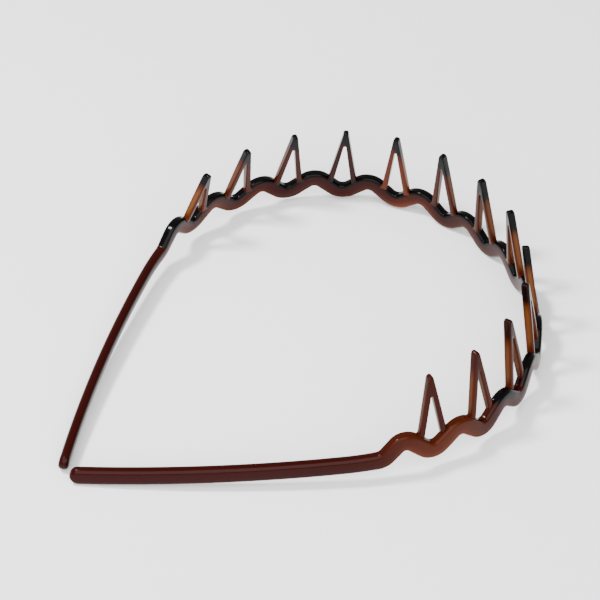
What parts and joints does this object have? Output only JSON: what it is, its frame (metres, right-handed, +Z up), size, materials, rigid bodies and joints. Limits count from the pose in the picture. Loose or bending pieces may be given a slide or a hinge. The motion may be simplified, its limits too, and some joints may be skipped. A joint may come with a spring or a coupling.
{
  "type": "wave-comb headband",
  "caption": "Springy U-shaped headband: a snaking ribbon with an open comb tooth over every trough, and a plain arm with a rounded tip on each side.",
  "frame": {"origin": "on the table, under the middle of the outer box, with the band lying on the crown's lowest wave and on both arm tips", "axes": "+Z up, the way the comb teeth point; +Y from the arm tips towards the crown; +X towards the wearer's right"},
  "size_m": [0.1178, 0.1502, 0.0306],
  "materials": {
    "band": "polished tortoiseshell, dark red-brown with black and amber patches",
    "teeth": "polished tortoiseshell, amber and brown with black tips",
    "arms": "polished tortoiseshell, even red-brown with a darker streak"
  },
  "bodies": {
    "crown": {"wave_07": "band", "tooth_07": "teeth"},
    "right_link_1": {"wave_08": "band", "tooth_08": "teeth"},
    "right_link_2": {"wave_09": "band", "tooth_09": "teeth"},
    "right_link_3": {"wave_10": "band", "tooth_10": "teeth"},
    "right_link_4": {"wave_11": "band", "tooth_11": "teeth"},
    "right_link_5": {"wave_12": "band", "tooth_12": "teeth"},
    "right_link_6": {"wave_13": "band", "tooth_13": "teeth"},
    "right_arm_body": {"right_arm": "arms"},
    "left_link_1": {"wave_06": "band", "tooth_06": "teeth"},
    "left_link_2": {"wave_05": "band", "tooth_05": "teeth"},
    "left_link_3": {"wave_04": "band", "tooth_04": "teeth"},
    "left_link_4": {"wave_03": "band", "tooth_03": "teeth"},
    "left_link_5": {"wave_02": "band", "tooth_02": "teeth"},
    "left_link_6": {"wave_01": "band", "tooth_01": "teeth"},
    "left_arm_body": {"left_arm": "arms"}
  },
  "joints": [
    {"name": "right_flex", "type": "hinge", "parent": "crown", "child": "right_link_1", "pos_m": [0.00824, 0.07286, 0.00697], "axis": [0, 0.069, 0.9976], "range_deg": [0, 5.5], "stiffness_Nm_per_rad": 1.25},
    {"name": "right_flex_2", "type": "hinge", "parent": "right_link_1", "child": "right_link_2", "pos_m": [0.02414, 0.0685, 0.00727], "axis": [0, 0.069, 0.9976], "range_deg": [0, 5.3], "stiffness_Nm_per_rad": 1.25},
    {"name": "right_flex_3", "type": "hinge", "parent": "right_link_2", "child": "right_link_3", "pos_m": [0.03813, 0.05985, 0.00787], "axis": [0, 0.069, 0.9976], "range_deg": [0, 5], "stiffness_Nm_per_rad": 1.25},
    {"name": "right_flex_4", "type": "hinge", "parent": "right_link_3", "child": "right_link_4", "pos_m": [0.04884, 0.04738, 0.00873], "axis": [0, 0.069, 0.9976], "range_deg": [0, 4.5], "stiffness_Nm_per_rad": 1.25},
    {"name": "right_flex_5", "type": "hinge", "parent": "right_link_4", "child": "right_link_5", "pos_m": [0.05527, 0.03226, 0.00978], "axis": [0, 0.069, 0.9976], "range_deg": [0, 4], "stiffness_Nm_per_rad": 1.25},
    {"name": "right_flex_6", "type": "hinge", "parent": "right_link_5", "child": "right_link_6", "pos_m": [0.05681, 0.0159, 0.01091], "axis": [0, 0.069, 0.9976], "range_deg": [0, 3.3], "stiffness_Nm_per_rad": 1.25},
    {"name": "right_flex_7", "type": "hinge", "parent": "right_link_6", "child": "right_arm_body", "pos_m": [0.05331, -0.00015, 0.01202], "axis": [0, 0.069, 0.9976], "range_deg": [0, 4.4], "stiffness_Nm_per_rad": 0.78},
    {"name": "left_flex", "type": "hinge", "parent": "crown", "child": "left_link_1", "pos_m": [-0.00824, 0.07286, 0.00697], "axis": [0, -0.069, -0.9976], "range_deg": [0, 5.5], "stiffness_Nm_per_rad": 1.25},
    {"name": "left_flex_2", "type": "hinge", "parent": "left_link_1", "child": "left_link_2", "pos_m": [-0.02414, 0.0685, 0.00727], "axis": [0, -0.069, -0.9976], "range_deg": [0, 5.3], "stiffness_Nm_per_rad": 1.25},
    {"name": "left_flex_3", "type": "hinge", "parent": "left_link_2", "child": "left_link_3", "pos_m": [-0.03813, 0.05985, 0.00787], "axis": [0, -0.069, -0.9976], "range_deg": [0, 5], "stiffness_Nm_per_rad": 1.25},
    {"name": "left_flex_4", "type": "hinge", "parent": "left_link_3", "child": "left_link_4", "pos_m": [-0.04884, 0.04738, 0.00873], "axis": [0, -0.069, -0.9976], "range_deg": [0, 4.5], "stiffness_Nm_per_rad": 1.25},
    {"name": "left_flex_5", "type": "hinge", "parent": "left_link_4", "child": "left_link_5", "pos_m": [-0.05527, 0.03226, 0.00978], "axis": [0, -0.069, -0.9976], "range_deg": [0, 4], "stiffness_Nm_per_rad": 1.25},
    {"name": "left_flex_6", "type": "hinge", "parent": "left_link_5", "child": "left_link_6", "pos_m": [-0.05681, 0.0159, 0.01091], "axis": [0, -0.069, -0.9976], "range_deg": [0, 3.3], "stiffness_Nm_per_rad": 1.25},
    {"name": "left_flex_7", "type": "hinge", "parent": "left_link_6", "child": "left_arm_body", "pos_m": [-0.05331, -0.00015, 0.01202], "axis": [0, -0.069, -0.9976], "range_deg": [0, 4.4], "stiffness_Nm_per_rad": 0.78}
  ]
}
